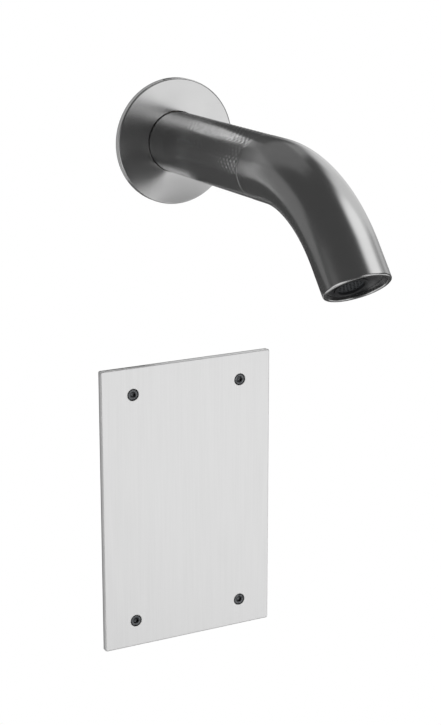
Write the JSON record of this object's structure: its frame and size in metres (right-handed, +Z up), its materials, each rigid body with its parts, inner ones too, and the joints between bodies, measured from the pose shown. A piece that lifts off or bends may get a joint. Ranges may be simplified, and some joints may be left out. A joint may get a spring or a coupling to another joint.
{
  "type": "electronic wall basin mixer",
  "caption": "Wall-mounted touch-free basin mixer: round flange, bent spout with a worked sleeve, and a flat cover plate over an in-wall valve box.",
  "frame": {"origin": "middle of the flange's back, on the finished wall, on the spout's axis", "axes": "+Y into the wall along the spout's level axis, +Z up, +X to the right seen from the room"},
  "size_m": [0.0932, 0.264, 0.2964],
  "materials": {
    "polished_metal": "polished",
    "worked_metal": "finely hammered and polished",
    "plate_metal": "satin",
    "screw_steel": "satin",
    "brass": "machined",
    "cast_brass": "blasted",
    "zinc_steel": "zinc plated",
    "magnetic_steel": "ground",
    "box_plastic": "moulded",
    "pipe_plastic": "extruded",
    "dark_plastic": "moulded",
    "grey_plastic": "moulded",
    "white_plastic": "moulded",
    "lens_plastic": "polished",
    "hose_rubber": "smooth",
    "seal_rubber": "smooth",
    "foam": "foam",
    "lead_jacket": "matt",
    "board": "coated",
    "coil_plastic": "moulded",
    "battery_film": "wrapped",
    "stop_metal": "nickel plated"
  },
  "bodies": {
    "wall_unit": {"wall_flange": "polished_metal", "flange_seal": "seal_rubber", "textured_sleeve": "worked_metal", "spout_tube": "polished_metal", "wall_shank": "brass", "shank_o_rings": "seal_rubber", "spout_grub_screw": "screw_steel", "spout_bracket": "zinc_steel", "lock_washer": "zinc_steel", "lock_nut": "brass", "conduit": "pipe_plastic", "water_hose": "hose_rubber", "hose_ferrule": "magnetic_steel", "sensor_lead": "lead_jacket", "outlet_insert": "dark_plastic", "insert_o_ring": "seal_rubber", "aerator_housing": "dark_plastic", "aerator_seal": "seal_rubber", "aerator_screen": "grey_plastic", "sensor_lens": "lens_plastic", "sensor_module": "dark_plastic", "cover_gasket": "foam", "box_housing": "box_plastic", "conduit_grommet": "seal_rubber", "inlet_grommets": "seal_rubber", "valve_block": "cast_brass", "block_screws": "screw_steel", "inlet_nipples": "brass", "inlet_filters": "white_plastic", "stop_glands": "brass", "hot_check_spring": "magnetic_steel", "cold_check_spring": "magnetic_steel", "check_seats": "grey_plastic", "service_caps": "brass", "mixing_cartridge": "grey_plastic", "cartridge_nut": "brass", "valve_chamber": "white_plastic", "armature_tube": "magnetic_steel", "bonnet_screws": "screw_steel", "plunger_spring": "magnetic_steel", "solenoid_coil": "coil_plastic", "coil_nut": "zinc_steel", "hose_connector": "brass", "control_case": "grey_plastic", "control_lid": "grey_plastic", "circuit_board": "board", "control_leads": "lead_jacket", "battery_holder": "dark_plastic", "battery": "battery_film"},
    "cover": {"cover_plate": "plate_metal", "cover_screws": "screw_steel"},
    "temperature_control": {"mixing_spindle": "stop_metal", "temperature_knob": "dark_plastic", "knob_screw": "screw_steel"},
    "hot_stop_plug": {"hot_stop": "stop_metal"},
    "cold_stop_plug": {"cold_stop": "stop_metal"},
    "valve_plunger": {"plunger": "magnetic_steel", "plunger_seal": "seal_rubber"},
    "hot_check_poppet": {"hot_poppet": "white_plastic"},
    "cold_check_poppet": {"cold_poppet": "white_plastic"}
  },
  "joints": [
    {"name": "cover_off", "type": "slide", "parent": "wall_unit", "child": "cover", "axis": [0, -1, 0], "range_m": [0, 0.06]},
    {"name": "temperature_turn", "type": "hinge", "parent": "wall_unit", "child": "temperature_control", "pos_m": [0.0054, 0.02, -0.2084], "axis": [0, 1, 0], "range_deg": [-60, 60]},
    {"name": "hot_stop_turn", "type": "hinge", "parent": "wall_unit", "child": "hot_stop_plug", "pos_m": [-0.0166, 0.035, -0.2214], "axis": [0, 1, 0], "range_deg": [0, 90]},
    {"name": "cold_stop_turn", "type": "hinge", "parent": "wall_unit", "child": "cold_stop_plug", "pos_m": [0.0274, 0.035, -0.2214], "axis": [0, 1, 0], "range_deg": [0, 90]},
    {"name": "plunger_lift", "type": "slide", "parent": "wall_unit", "child": "valve_plunger", "axis": [0, 0, 1], "range_m": [0, 0.002], "stiffness_N_per_m": 250, "springref_m": -0.005, "deforming": ["plunger_spring"]},
    {"name": "hot_check_lift", "type": "slide", "parent": "wall_unit", "child": "hot_check_poppet", "axis": [0, 0, 1], "range_m": [0, 0.0025], "stiffness_N_per_m": 60, "springref_m": -0.004, "deforming": ["hot_check_spring"]},
    {"name": "cold_check_lift", "type": "slide", "parent": "wall_unit", "child": "cold_check_poppet", "axis": [0, 0, 1], "range_m": [0, 0.0025], "stiffness_N_per_m": 60, "springref_m": -0.004, "deforming": ["cold_check_spring"]}
  ]
}
